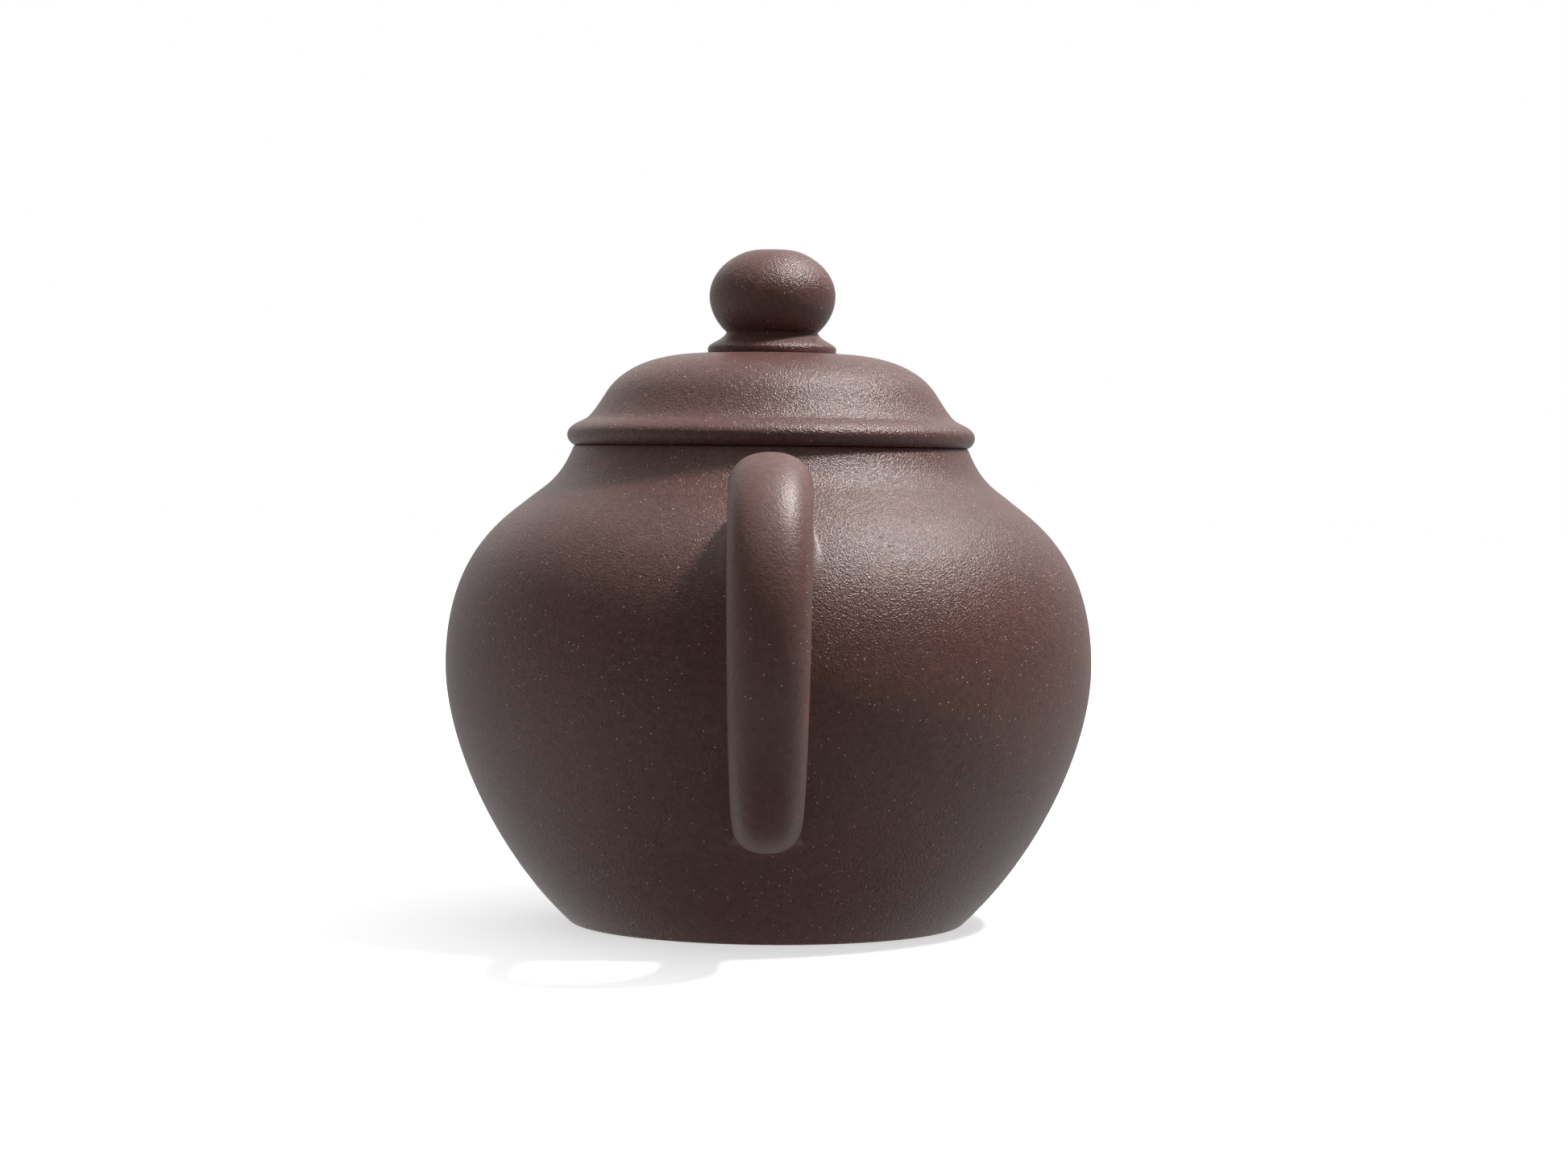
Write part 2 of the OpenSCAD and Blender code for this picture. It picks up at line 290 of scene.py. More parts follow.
# %% [markdown]
# ## The pot's turned pieces
#
# The wall is a strip of clay, beaten round and drawn in at the top and the bottom. The shoulder plate
# closes it above, with the mouth cut in it, and carries a ring of clay that the lid sits on. The base
# plate closes it below, on a low foot ring. Outside, the joints are scraped away, so these pieces take
# their stretch of one outline and no line shows. Inside, they keep their own edges, wiped a little round.

# %% Wall
wall = turned("pot_wall", np.vstack([
    stretch(pot_outline, base_top, seam_h),
    stretch(cavity_outline, base_top, seam_h)[::-1]]), "body_wall", "pot")

# %% [markdown]
# The wall has a round port into the spout, behind the strainer. A Boolean cuts it: the port only shows
# through the strainer's holes and down the spout, where its edge is hidden, so a clean grid round it
# would gain nothing. The cutter is removed once the cut is in the mesh.

# %% Port through the wall
strainer_low, strainer_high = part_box("ball_strainer")
strainer_lap = 1.6 * MM
port_r = (strainer_high.x - strainer_low.x) / 2 - strainer_lap
port_h = (strainer_low.z + strainer_high.z) / 2
bpy.ops.mesh.primitive_cylinder_add(vertices=96, radius=port_r, depth=4 * wall_t,
                                    location=(0, belly_r, port_h), rotation=(math.pi / 2, 0, 0))
cutter = bpy.context.object
cut = wall.modifiers.new("port", "BOOLEAN")
cut.object, cut.operation, cut.solver = cutter, "DIFFERENCE", "EXACT"
bpy.context.view_layer.update()
drilled = bpy.data.meshes.new_from_object(wall.evaluated_get(bpy.context.evaluated_depsgraph_get()))
wall.modifiers.clear()
wall.data = drilled
bpy.data.objects.remove(cutter)
drilled.set_sharp_from_angle(angle=math.radians(35))
print("port", round(2000 * port_r, 1), "mm across, wall now", len(drilled.polygons), "faces")

# %% Shoulder plate, mouth ring, base plate and foot ring
mouth_edge = [mouth_r, shoulder_edge_h]
turned("pot_shoulder", rounded(np.vstack([
    stretch(pot_outline, seam_h, ring_seat_h, 0.4 * MM),
    [[mouth_r, ring_seat_h], mouth_edge],
    stretch(cavity_outline, seam_h, shoulder_edge_h)[::-1]]),
    [(mouth_edge, 0.7 * MM)]), "shoulder_plate", "pot")
turned("pot_mouth_ring", rounded(np.vstack([
    stretch(pot_outline, ring_seat_h, rim_h, 0.3 * MM),
    [[mouth_r, rim_h], [mouth_r, ring_seat_h]]]),
    [(rim_point, 0.25 * MM), ([mouth_r, rim_h], 0.45 * MM)]), "mouth_ring", "pot")
turned("pot_base", stretch(pot_outline, foot_h, base_top), "base_plate", "pot", loop=False)
turned("pot_foot_ring", rounded(np.vstack([
    stretch(pot_outline, 0, foot_h, 0.4 * MM),
    [[foot_r - foot_w, foot_h], [foot_r - foot_w, 0]]]),
    [(foot_point, 0.35 * MM), ([foot_r - foot_w, 0], 0.6 * MM)]), "foot_ring", "pot")

# %% [markdown]
# ## The lid's turned pieces
#
# The domed plate is thrown over a mould, the bead is rolled round its edge, and the deep collar below is
# fitted to the mouth until it turns without a rattle: it leaves 0.15 mm all round. A low disc with a
# cone sits on the dome, and the knob on that. Knob, disc and plate share a narrow air hole.

# %% Dome, bead and collar
turned("lid_dome", rounded(np.vstack([
    joined(stretch(dome_outline, bead_top, dome_top_h - 0.01 * MM, 0.4 * MM), [dome_top, dome_top]),
    [[air_r, dome_top_h], [air_r, dome_top_h - lid_t]],
    stretch(dome_inside, bead_top, dome_top_h - lid_t, 0.5 * MM)[::-1]]),
    [([air_r, dome_top_h - lid_t], 0.4 * MM)]), "lid_plate", "lid")
bead_in_top = [collar_in_r, bead_top]
turned("lid_bead", rounded(np.vstack([
    [[collar_in_r, rim_h]], bead_outline,
    [bead_in_top]]), [(bead_in_top, 1.2 * MM)]), "lid_rim_bead", "lid")
collar_edge, collar_in_edge = [collar_r, collar_low], [collar_in_r, collar_low]
turned("lid_collar_ring", rounded(np.array([
    collar_in_edge, collar_edge, [collar_r, rim_h], [collar_in_r, rim_h]]),
    [(collar_edge, 0.8 * MM), (collar_in_edge, 0.6 * MM)]), "lid_collar", "lid")

# %% [markdown]
# The knob is a ball that was pressed a little flat. Its outline is two half ellipses that meet at the
# widest circle: the lower one runs down to the neck, the upper one ends at a small flat. The disc under
# it has an upright edge with a crisp arris, then dips and runs up to the neck.

# %% Disc and knob
neck = np.array([5.65 * MM, seat_top])
disc_edge_h = dome_top_h + 0.72 * MM
disc_outline = np.vstack([
    [[seat_r, dome_top_h], [seat_r, disc_edge_h]],
    curve([seat_r - 0.08 * MM, disc_edge_h + 0.16 * MM], [seat_r - 0.5 * MM, disc_edge_h + 0.75 * MM],
          neck + [0.35 * MM, -0.95 * MM], neck, 20)])
turned("knob_disc", rounded(np.vstack([
    disc_outline, [[air_r, seat_top], [air_r, dome_top_h]]]),
    [([seat_r, dome_top_h], 0.12 * MM)]), "knob_seat", "lid")
knob_h = seat_top + 0.441 * (knob_top - seat_top)
flat_r = 2.45 * MM
low = -np.linspace(math.acos(neck[0] / knob_r), 0, 40)
up = np.linspace(0, math.acos(flat_r / knob_r), 40)
low_share = (knob_h - seat_top) / -math.sin(low[0])
up_share = (knob_top - knob_h) / math.sin(up[-1])
ball = joined(
    np.column_stack([knob_r * np.cos(low), knob_h + low_share * np.sin(low)]),
    np.column_stack([knob_r * np.cos(up), knob_h + up_share * np.sin(up)]))
turned("knob_ball", rounded(np.vstack([[[air_r, seat_top]], ball, [[air_r, knob_top]]]),
       [([flat_r, knob_top], 0.9 * MM), ([air_r, knob_top], 0.45 * MM)]), "knob", "lid")

# %% [markdown]
# ## Handle and spout
#
# Both are rolls of clay, luted to the wall and then drawn out onto it with a wet tool until each root
# runs into the body in a smooth hollow curve. That curve is what makes them look grown rather than
# stuck on, so the grids are made to do it. A bar is swept along its path. Each of its lines stops where
# it is still one fillet's reach away from the wall, and from there a cubic curve carries on: it starts
# along the bar and ends flat on the wall, the same reach further out. The last row sinks into the clay.

# %% Distance from the wall
def wall_distance(points):
    """(distance outside the pot's surface, unit vector away from it). For a point at radius q and
    height z the distance is (q - R(z)) / sqrt(1 + R'(z)^2), where R is the pot's outline."""
    q = np.hypot(points[..., 0], points[..., 1])
    z = points[..., 2]
    slope = np.gradient(pot_outline[:, 0], pot_outline[:, 1])
    r, dr = (np.interp(z, pot_outline[:, 1], v) for v in (pot_outline[:, 0], slope))
    size = np.sqrt(1 + dr * dr)
    away = np.stack([points[..., 0] / q, points[..., 1] / q, -dr], -1) / size[..., None]
    return (q - r) / size, away


def unit(v):
    """Vectors scaled to length 1."""
    return v / np.linalg.norm(v, axis=-1, keepdims=True)


# %% Bar along a path
def bar_points(path, wide, thick, at, turn, full=2.0):
    """Surface of a bar: centre(at) + wide/2 C X + thick/2 S N, where at is the share of the path's
    length and N is square to both X and the path. C and S are cos(turn) and sin(turn), each with its
    size raised to 2 / full: 2 gives an ellipse, and more gives it fuller corners. A column of shares
    gives one ring of points each."""
    run = lengths(path) / lengths(path)[-1]
    along = unit(np.gradient(path, run, axis=0))
    c, t = (np.stack([np.interp(at, run, v[:, i]) for i in range(3)], -1) for v in (path, along))
    t = unit(t)
    n = np.cross(t, [1.0, 0, 0])
    half_w, half_t = (np.interp(at, np.linspace(0, 1, len(v)), v / 2)[..., None] for v in (wide, thick))
    across, over = (np.sign(v) * np.abs(v) ** (2 / full) for v in (np.cos(turn), np.sin(turn)))
    return c + half_w * across[..., None] * [1.0, 0, 0] + half_t * over[..., None] * n


def root_rows(path, wide, thick, turn, reach, full=2.0, steps=16, end=0, smooth=1.0):
    """Where each line of a bar leaves the wall, and the rows of the fillet there. end is 0 for the
    path's first end and 1 for its last. reach is the fillet's reach for each line, and smooth is 1
    where the fillet starts along the bar and 0 where it starts with a lip. From the foot on the wall
    to the top on the bar: (1-t)^3 foot + 3 (1-t)^2 t (foot - 0.7 reach out)
    + 3 (1-t) t^2 (top + 0.7 reach smooth towards the wall) + t^3 top."""
    at = np.linspace(0, 0.45, 700) if end == 0 else np.linspace(1, 0.55, 700)
    skin = bar_points(path, wide, thick, at[:, None], turn, full)
    far, _ = wall_distance(skin)
    hit = np.argmax(far > reach, axis=0)
    k = np.arange(len(turn))
    before, after = far[hit - 1, k], far[hit, k]
    mix = ((reach - before) / (after - before))[:, None]
    top = skin[hit - 1, k] * (1 - mix) + skin[hit, k] * mix
    leave = at[hit - 1] + (at[hit] - at[hit - 1]) * mix[:, 0]
    towards = unit(skin[hit - 2, k] - skin[hit + 2, k])
    _, away = wall_distance(top)
    centre = top.mean(axis=0)
    out = top - centre
    out = unit(out - (out * away).sum(-1, keepdims=True) * away)
    foot = top - reach[:, None] * away + reach[:, None] * out
    for _ in range(4):
        off, away = wall_distance(foot)
        foot = foot - off[:, None] * away
    out = unit(out - (out * away).sum(-1, keepdims=True) * away)
    t = np.linspace(0, 1, steps + 1)[:, None, None]
    s, pull = 1 - t, 0.7 * reach[:, None]
    rows = (s**3 * foot + 3 * s * s * t * (foot - pull * out)
            + 3 * s * t * t * (top + pull * np.reshape(smooth, (-1, 1)) * towards) + t**3 * top)
    sunk = foot - 0.8 * MM * away
    return leave, np.concatenate([sunk[None], rows])


# %% [markdown]
# The handle starts on the shoulder, rises to its crown just under the rim, comes down clear of the
# belly with room for one finger, and turns in to the lower wall. It tapers from the crown to the heel.
# Both roots are drawn out onto the wall on their lower side, where the thumb can get at them. The upper
# one runs off smoothly, and the lower one starts with a lip.

# %% Path of the handle
handle_low, handle_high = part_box("handle")
crown_w = handle_high.x - handle_low.x
thick_share = 0.92
crown_t = thick_share * crown_w
reach_out = -handle_low.y
crown_in = 16.6 * MM
back_drop = 15 * MM
upper_root_h = rim_h - 11 * MM
lower_root_h = 14.4 * MM
crown = np.array([reach_out - crown_in, handle_high.z - crown_t / 2])
back = np.array([reach_out - crown_t / 2, crown[1] - back_drop])
upper_root, lower_root = (
    np.array([np.interp(h, cavity_outline[:, 1], cavity_outline[:, 0]) + off_cavity, h])
    for h, off_cavity in ((upper_root_h, 1 * MM), (lower_root_h, 0.6 * MM)))
heel = lower_root + np.array([13, 2.2]) * MM
handle_line = joined(
    curve(upper_root, upper_root + 7 * MM * heading(38), crown - [7 * MM, 0], crown),
    curve(crown, crown + [7 * MM, 0], back + [0, 9 * MM], back),
    curve(back, back - [0, 11 * MM], heel + [8 * MM, 0.6 * MM], heel),
    curve(heel, heel - [5 * MM, 0.4 * MM], lower_root + [4 * MM, 0.8 * MM], lower_root))
handle_path = np.column_stack([0 * handle_line[:, 0], -handle_line[:, 0], handle_line[:, 1]])
print("handle roots", upper_root.round(4), lower_root.round(4))

# %% Handle
BAR_AROUND = 96
turn = np.arange(BAR_AROUND) * 2 * math.pi / BAR_AROUND
full = 2.3
heel_w = 6.4 * MM
handle_wide = crown_w + (heel_w - crown_w) * np.linspace(0, 1, 200) ** 3
handle_thick = thick_share * handle_wide
upper_reach = (0.4 + 5.8 * np.clip(-np.sin(turn), 0, 1) ** 1.4) * MM
lower_reach = (0.5 + 4.2 * np.clip(np.sin(turn), 0, 1) ** 2) * MM
lower_lip = 1 - np.clip(np.sin(turn), 0, 1)
upper_leave, upper_rows = root_rows(handle_path, handle_wide, handle_thick, turn, upper_reach, full)
lower_leave, lower_rows = root_rows(handle_path, handle_wide, handle_thick, turn, lower_reach, full, end=1,
                                    smooth=lower_lip)
step = np.linspace(0, 1, 132)[1:-1, None]
handle_rows = bar_points(handle_path, handle_wide, handle_thick,
                         upper_leave + (lower_leave - upper_leave) * step, turn, full)
handle = piece_from("pot_handle", np.concatenate([upper_rows, handle_rows, lower_rows[::-1]]),
                    "handle", "pot", loop=False)

# %% [markdown]
# The spout is a tapered tube that leaves the belly level, bends up and is cut off level with the rim,
# so that the pot can be filled to the brim. Its grid goes out along the skin, over the lip, and back
# down the bore to the wall, where it closes behind the fillet.

# %% Path and size of the spout
tip_d = 11.6 * MM
root_d = 2 * port_r + 8.0 * MM
spout_t = 2.1 * MM
stands_out = 24 * MM
spout_root = np.array([belly_r - wall_t - 1 * MM, port_h])
spout_tip = np.array([belly_r + stands_out - tip_d / 2, rim_h + 2 * MM])
spout_line = curve(spout_root, spout_root + [15 * MM, 1 * MM],
                   spout_tip - 0.6 * (spout_tip[1] - spout_root[1]) * heading(64), spout_tip, 200)
spout_path = np.column_stack([0 * spout_line[:, 0], spout_line])
skin_d = tip_d + (root_d - tip_d) * (1 - np.linspace(0, 1, 200)) ** 1.5
bore_d = skin_d - 2 * spout_t
print("spout", round(1000 * lengths(spout_line)[-1], 1), "mm long along its middle")


# %% Spout
def level_cut(size, height):
    """Share of the path at which each line of a tube of that size crosses a level."""
    at = np.linspace(0.5, 1, 600)
    lines = bar_points(spout_path, size, size, at[:, None], turn)
    hit = np.argmax(lines[..., 2] > height, axis=0)
    k = np.arange(len(turn))
    z0, z1 = lines[hit - 1, k, 2], lines[hit, k, 2]
    return at[hit - 1] + (at[hit] - at[hit - 1]) * (height - z0) / (z1 - z0)


lip_r = 0.55 * MM
root_leave, root_fillet = root_rows(spout_path, skin_d, skin_d, turn, (4.2 + 0.6 * np.sin(turn)) * MM)
skin_end, bore_end = level_cut(skin_d, rim_h - lip_r), level_cut(bore_d, rim_h - lip_r)
step = np.linspace(0, 1, 90)[1:, None]
skin_rows = bar_points(spout_path, skin_d, skin_d, root_leave + (skin_end - root_leave) * step, turn)
edge, inner_edge = (bar_points(spout_path, d, d, level_cut(d, rim_h), turn) for d in (skin_d, bore_d))
in_dir = unit(inner_edge - edge)
t = np.linspace(0, 1, 6)[:, None, None]
lip_out = (1 - t) ** 2 * skin_rows[-1] + 2 * (1 - t) * t * edge + t * t * (edge + lip_r * in_dir)
step = np.linspace(1, 0, 70)[:, None]
bore_start = 0.03
bore_rows = bar_points(spout_path, bore_d, bore_d, bore_start + (bore_end - bore_start) * step, turn)
lip_in = (1 - t) ** 2 * (inner_edge - lip_r * in_dir) + 2 * (1 - t) * t * inner_edge + t * t * bore_rows[0]
piece_from("pot_spout", np.concatenate([
    root_fillet, skin_rows, lip_out[1:], lip_in, bore_rows[1:]]), "spout", "pot")

# %% [markdown]
# ## Clay
#
# The clay fires to a dark purple brown. It is not glazed: its skin is burnished until the finest
# particles lie flat and give a soft, satin sheen, with sand grains of 0.1 to 0.4 mm standing a little
# proud. Iron shows as rust specks, mica and quartz as tiny pale ones. All of it is made with noise in
# object space, so that grain runs through a joint without a break, and the grain is the same size on
# every piece. Two effects are shared by the finishes, so each is a node group.

# %% Helpers for node groups
def new_group(name, inputs, outputs):
    """An empty shader node group. inputs and outputs are lists of (name, socket type, value)."""
    group = bpy.data.node_groups.new(name, "ShaderNodeTree")
    for way, sockets in (("INPUT", inputs), ("OUTPUT", outputs)):
        for socket_name, kind, value in sockets:
            socket = group.interface.new_socket(socket_name, in_out=way, socket_type="NodeSocket" + kind)
            if value is not None:
                socket.default_value = value
    return group, group.nodes.new("NodeGroupInput"), group.nodes.new("NodeGroupOutput")


def add(tree, kind, settings=None, **inputs):
    """A node with its settings and its inputs. An input is a value or another node's socket, and it
    goes by its name, or by i and its number where several inputs share a name."""
    node = tree.nodes.new("ShaderNode" + kind)
    for key, value in (settings or {}).items():
        setattr(node, key, value)
    for key, value in inputs.items():
        numbered = key[0] == "i" and key[1:].isdigit()
        socket = node.inputs[int(key[1:]) if numbered else key]
        if isinstance(value, bpy.types.NodeSocket):
            tree.links.new(value, socket)
        else:
            socket.default_value = value
    return node


def maths(tree, operation, a, b):
    """The socket of one sum: a and b are values or sockets."""
    return add(tree, "Math", {"operation": operation}, i0=a, i1=b).outputs[0]


def blended(tree, share, a, b):
    """The socket of colour a where share is 0 and colour b where it is 1."""
    return add(tree, "Mix", {"data_type": "RGBA"}, i0=share, i6=a, i7=b).outputs[2]


def specks(tree, place, cells, size, share):
    """Mask of round grains: 1 inside size of a cell's seed, in the share of cells whose own random
    number is low enough. cells is how many there are in a metre, size is in parts of a cell."""
    cell = add(tree, "TexVoronoi", {"voronoi_dimensions": "3D"}, Vector=place, Scale=cells, Randomness=1.0)
    own = add(tree, "SeparateColor", i0=cell.outputs["Color"]).outputs[0]
    near = add(tree, "MapRange", {"interpolation_type": "SMOOTHSTEP"}, i0=cell.outputs["Distance"], i1=size,
               i2=maths(tree, "MULTIPLY", size, 0.55), i3=0.0, i4=1.0).outputs[0]
    return maths(tree, "MULTIPLY", near, maths(tree, "LESS_THAN", own, share))


# %% [markdown]
# The first group is the relief: a fine grain, a coarser one, the faint facets that the wooden beater
# and the horn scraper leave, and a few pits where a grain was dragged out. Noise is built on a square
# grid, so the place is turned first, and the grid runs along no side of the pot. The group puts out one
# height, and the grain alone as a mask, because the tops of grains are burnished more than the hollows.

# %% Grain group
grain, g_in, g_out = new_group("clay grain", [
    ("Place", "Vector", None), ("Fine grains per metre", "Float", 4300.0),
    ("Coarse grains per metre", "Float", 2300.0), ("Fine", "Float", 0.5), ("Coarse", "Float", 0.35),
    ("Scraping", "Float", 0.5), ("Pits", "Float", 0.5)],
    [("Height", "Float", None), ("Grain", "Float", None)])
place = add(grain, "Mapping", Vector=g_in.outputs["Place"], Rotation=(0.54, 0.82, 0.23)).outputs[0]
fine = add(grain, "TexNoise", Vector=place, Scale=g_in.outputs["Fine grains per metre"],
           Detail=2.0, Roughness=0.6)
coarse = add(grain, "TexNoise", Vector=place, Scale=g_in.outputs["Coarse grains per metre"],
             Detail=2.0, Roughness=0.5)
scraped = add(grain, "TexNoise", Vector=place, Scale=140.0, Detail=1.0, Roughness=0.4)
pit = specks(grain, place, 380.0, g_in.outputs["Pits"], 0.5)
height = maths(grain, "ADD",
               maths(grain, "MULTIPLY", fine.outputs[0], g_in.outputs["Fine"]),
               maths(grain, "MULTIPLY", coarse.outputs[0], g_in.outputs["Coarse"]))
height = maths(grain, "ADD", height, maths(grain, "MULTIPLY", scraped.outputs[0], g_in.outputs["Scraping"]))
height = maths(grain, "SUBTRACT", height, maths(grain, "MULTIPLY", pit, 0.6))
grain.links.new(height, g_out.inputs["Height"])
grain.links.new(fine.outputs[0], g_out.inputs["Grain"])
print("grain group:", len(grain.nodes), "nodes")

# %% [markdown]
# The second group is the colour: the ground colour drifts slowly between a darker and a lighter tone,
# as the flame leaves it, with a fine mottle of the mixed clays on top. Then come faint streaks where the
# iron gathers, rust specks, and pale grains and dust, which are denser in some places than in others.

# %% Colour group
tone, c_in, c_out = new_group("clay colour", [
    ("Place", "Vector", None), ("Dark clay", "Color", (0.06, 0.04, 0.037, 1)),
    ("Light clay", "Color", (0.1, 0.065, 0.06, 1)), ("Rust", "Color", (0.17, 0.075, 0.05, 1)),
    ("Pale", "Color", (0.68, 0.6, 0.53, 1)), ("Rust share", "Float", 0.25), ("Pale share", "Float", 0.3)],
    [("Color", "Color", None)])
place = c_in.outputs["Place"]
flame = add(tone, "TexNoise", Vector=place, Scale=28.0, Detail=3.0, Roughness=0.5)
mottle = add(tone, "TexNoise", Vector=place, Scale=1300.0, Detail=2.0, Roughness=0.6)
mix = maths(tone, "ADD", maths(tone, "MULTIPLY", flame.outputs[0], 0.45),
            maths(tone, "MULTIPLY", mottle.outputs[0], 0.55))
mix = add(tone, "MapRange", i0=mix, i1=0.32, i2=0.68, i3=0.0, i4=1.0).outputs[0]
ground = blended(tone, mix, c_in.outputs["Dark clay"], c_in.outputs["Light clay"])
streak = add(tone, "TexNoise", Vector=place, Scale=230.0, Detail=3.0, Roughness=0.65)
iron = add(tone, "MapRange", {"interpolation_type": "SMOOTHSTEP"}, i0=streak.outputs[0],
           i1=0.58, i2=0.78, i3=0.0, i4=0.5)
ground = blended(tone, iron.outputs[0], ground, c_in.outputs["Rust"])
rust = specks(tone, place, 420.0, 0.13, c_in.outputs["Rust share"])
drift = add(tone, "TexNoise", Vector=place, Scale=90.0, Detail=2.0, Roughness=0.6)
settled = add(tone, "MapRange", i0=drift.outputs[0], i1=0.42, i2=0.66, i3=0.35, i4=2.2).outputs[0]
pale = specks(tone, place, 1500.0, 0.13, maths(tone, "MULTIPLY", settled, c_in.outputs["Pale share"]))
spotted = blended(tone, maths(tone, "MULTIPLY", rust, 0.7), ground, c_in.outputs["Rust"])
spotted = blended(tone, maths(tone, "MULTIPLY", pale, 0.95), spotted, c_in.outputs["Pale"])
tone.links.new(spotted, c_out.inputs["Color"])
print("colour group:", len(tone.nodes), "nodes")


# %% Finishes
def clay_finish(name, dark, light, rough, relief, grain_values, speck_values):
    """A Principled material: colour from the colour group, relief from the grain group through one
    Bump, and a roughness that is a little lower on the burnished tops of the grains."""
    material = bpy.data.materials.new(name)
    material.use_nodes = True
    tree = material.node_tree
    shader = next(n for n in tree.nodes if n.type == "BSDF_PRINCIPLED")
    where = add(tree, "TexCoord").outputs["Object"]
    colour = tree.nodes.new("ShaderNodeGroup")
    colour.node_tree = tone
    skin = tree.nodes.new("ShaderNodeGroup")
    skin.node_tree = grain
    tree.links.new(where, colour.inputs["Place"])
    tree.links.new(where, skin.inputs["Place"])
    colour.inputs["Dark clay"].default_value = (*dark, 1)
    colour.inputs["Light clay"].default_value = (*light, 1)
    for group, values in ((colour, speck_values), (skin, grain_values)):
        for key, value in values.items():
            group.inputs[key].default_value = value
    tree.links.new(colour.outputs["Color"], shader.inputs["Base Color"])
    sheen = add(tree, "MapRange", i0=skin.outputs["Grain"], i1=0.3, i2=0.7, i3=rough + 0.06, i4=rough - 0.05)
    tree.links.new(sheen.outputs[0], shader.inputs["Roughness"])
    bump = add(tree, "Bump", Strength=1.0, Distance=relief, Height=skin.outputs["Height"])
    tree.links.new(bump.outputs[0], shader.inputs["Normal"])
    shader.inputs["IOR"].default_value = 1.46
    return material


clay = clay_finish("clay", (0.068, 0.030, 0.026), (0.138, 0.060, 0.051), 0.32, 0.13 * MM,
                   {"Fine": 1.0, "Coarse": 0.4, "Scraping": 0.3, "Pits": 0.09},
                   {"Rust share": 0.2, "Pale share": 0.42})
# The handle's clay is a little lighter than the body's, most in its dark tone. That is painted light: it
# stands in for light thrown up onto the handle from in front and below. Its higher roughness is the handle's
# own duller burnish.
handle_clay_painted_light = clay_finish("handle clay with painted light", (0.082, 0.038, 0.033), (0.140, 0.066, 0.057), 0.44, 0.11 * MM,
                          {"Fine": 0.5, "Coarse": 0.45, "Scraping": 0.4, "Pits": 0.06},
                          {"Rust share": 0.12, "Pale share": 0.16})
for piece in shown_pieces():
    finish = handle_clay_painted_light if piece is handle else clay
    piece.data.materials.clear()
    piece.data.materials.append(finish)

# %% [markdown]
# ## Studio
#
# The pot stands on a plain pale floor in front of a white ground. A small soft box hangs high on its
# right and gives the highlights on the shoulder, the dome and the knob. The surroundings do the rest.
# Clay this dark shows what is round it mostly near its outline, so their brightness is set in bands, by
# height and by side: bright overhead and low down, where a real table sends light back up, and dark
# towards the camera. The surroundings stand in for that table. So the floor is seen, and takes the pot's
# shadow, but is left out of the clay's own lighting.

# %% Floor
bpy.ops.mesh.primitive_plane_add(size=6, location=(0, 0, 0))
floor = bpy.context.object
floor.name = "floor"
pale_floor = bpy.data.materials.new("pale floor")
pale_floor.use_nodes = True
floor_shader = pale_floor.node_tree.nodes["Principled BSDF"]
floor_shader.inputs["Base Color"].default_value = (0.72, 0.72, 0.72, 1)
floor_shader.inputs["Roughness"].default_value = 0.9
floor_shader.inputs["Emission Color"].default_value = (1, 1, 1, 1)
floor_shader.inputs["Emission Strength"].default_value = 0.6
floor.data.materials.append(pale_floor)
floor.visible_diffuse = False
floor.visible_glossy = False
floor.visible_shadow = False

# %% Surroundings
world = bpy.data.worlds.new("white studio")
bpy.context.scene.world = world
world.use_nodes = True
sky = world.node_tree
sky_shader = sky.nodes["Background"]
direction = add(sky, "TexCoord").outputs["Generated"]
x_part, y_part, z_part = add(sky, "SeparateXYZ", i0=direction).outputs[:3]


def band(value, low, high):
    """A smooth step of a value: 0 below low, 1 above high."""
    return add(sky, "MapRange", {"interpolation_type": "SMOOTHSTEP"},
               i0=value, i1=low, i2=high, i3=0.0, i4=1.0).outputs[0]


def between(share, a, b):
    """The socket of a value that is a where share is 0 and b where it is 1."""
    return add(sky, "Mix", {"data_type": "FLOAT"}, i0=share, i2=a, i3=b).outputs[0]


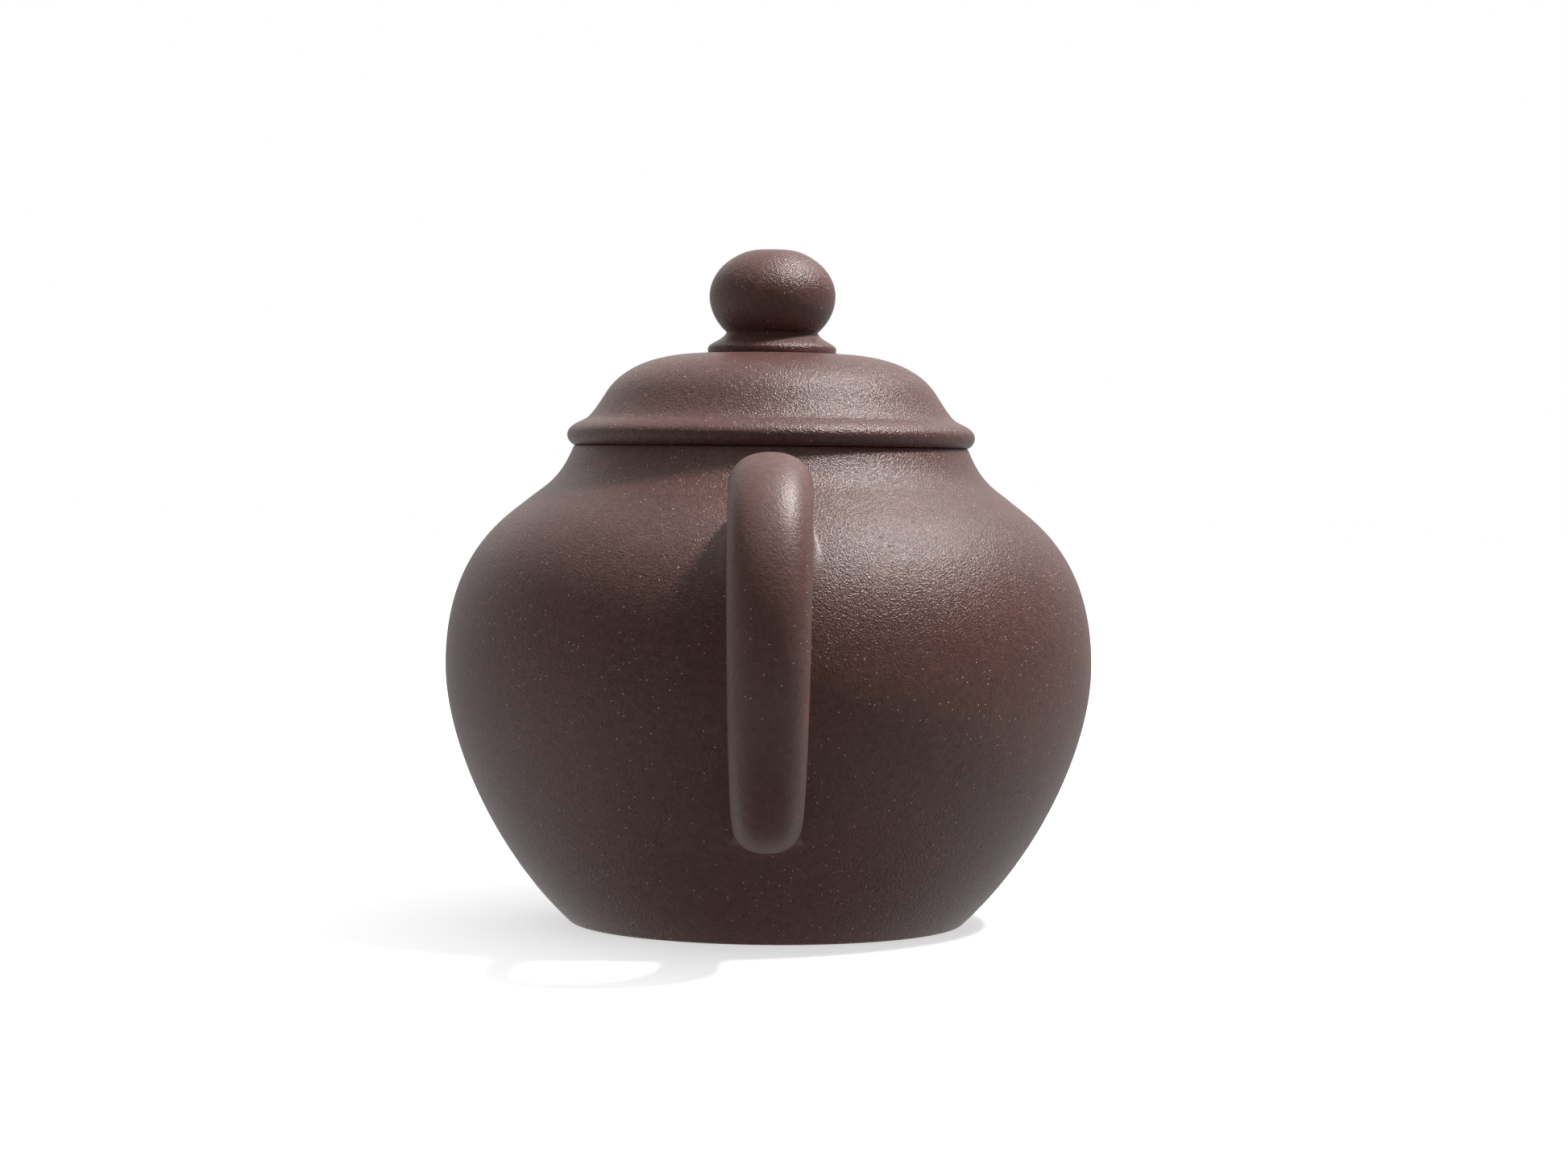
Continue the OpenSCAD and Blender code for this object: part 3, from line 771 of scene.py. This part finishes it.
def level(front, left, right, behind):
    """Brightness round the pot at one height: a smooth mix of the levels on its four sides."""
    sides = between(band(x_part, -0.2, 0.2), left, right)
    ahead = between(band(y_part, -0.8, -0.2), front, sides)
    return between(band(y_part, 0.2, 0.8), ahead, behind)


glow = 0.15
for start, end, brightness in (
        (-0.85, -0.55, level(front=0.58, left=0.78, right=1.0, behind=0.65)),
        (-0.3, -0.1, level(front=0.0, left=0.58, right=0.0, behind=0.49)),
        (0.1, 0.3, level(front=0.0, left=0.0, right=0.0, behind=0.85)),
        (0.5, 0.8, 0.92)):
    glow = between(band(z_part, start, end), glow, brightness)
shown = between(add(sky, "LightPath").outputs["Is Camera Ray"], glow, 1.0)
sky.links.new(shown, sky_shader.inputs["Strength"])
sky_shader.inputs["Color"].default_value = (1, 1, 1, 1)


# %% Soft box
def soft_box(name, towards, distance, size, power):
    """A square area light that looks at the middle of the pot from the given direction."""
    light = bpy.data.lights.new(name, "AREA")
    light.shape, light.size, light.energy = "SQUARE", size, power
    lamp = bpy.data.objects.new(name, light)
    bpy.context.scene.collection.objects.link(lamp)
    back = Vector(towards).normalized()
    lamp.location = Vector((0, 0, 0.045)) + distance * back
    lamp.rotation_euler = back.to_track_quat("Z", "Y").to_euler()
    return lamp


soft_box("key", towards=(0.48, 0.0, 0.87), distance=0.9, size=0.13, power=13.5)

# %% [markdown]
# ## Camera
#
# The camera looks at the handle's side, just under the height of the rim, from less than half a metre,
# with a long lens. It looks a hair past the pot's axis, tips down a little and is not quite level.

# %% Camera
camera = bpy.data.objects.new("camera", bpy.data.cameras.new("camera"))
bpy.context.scene.collection.objects.link(camera)
bpy.context.scene.camera = camera
camera.data.sensor_width = 36
camera.data.lens = 83.25
camera.data.clip_start = 0.01
look = Euler((math.radians(90 - 1.7), 0, math.radians(-0.23))).to_matrix()
look = look @ Matrix.Rotation(math.radians(0.62), 3, "Z")
camera.matrix_world = Matrix.Translation((0, -0.45, 0.0548)) @ look.to_4x4()
bpy.context.scene.view_settings.view_transform = "Standard"
bpy.context.scene.view_settings.look = "None"
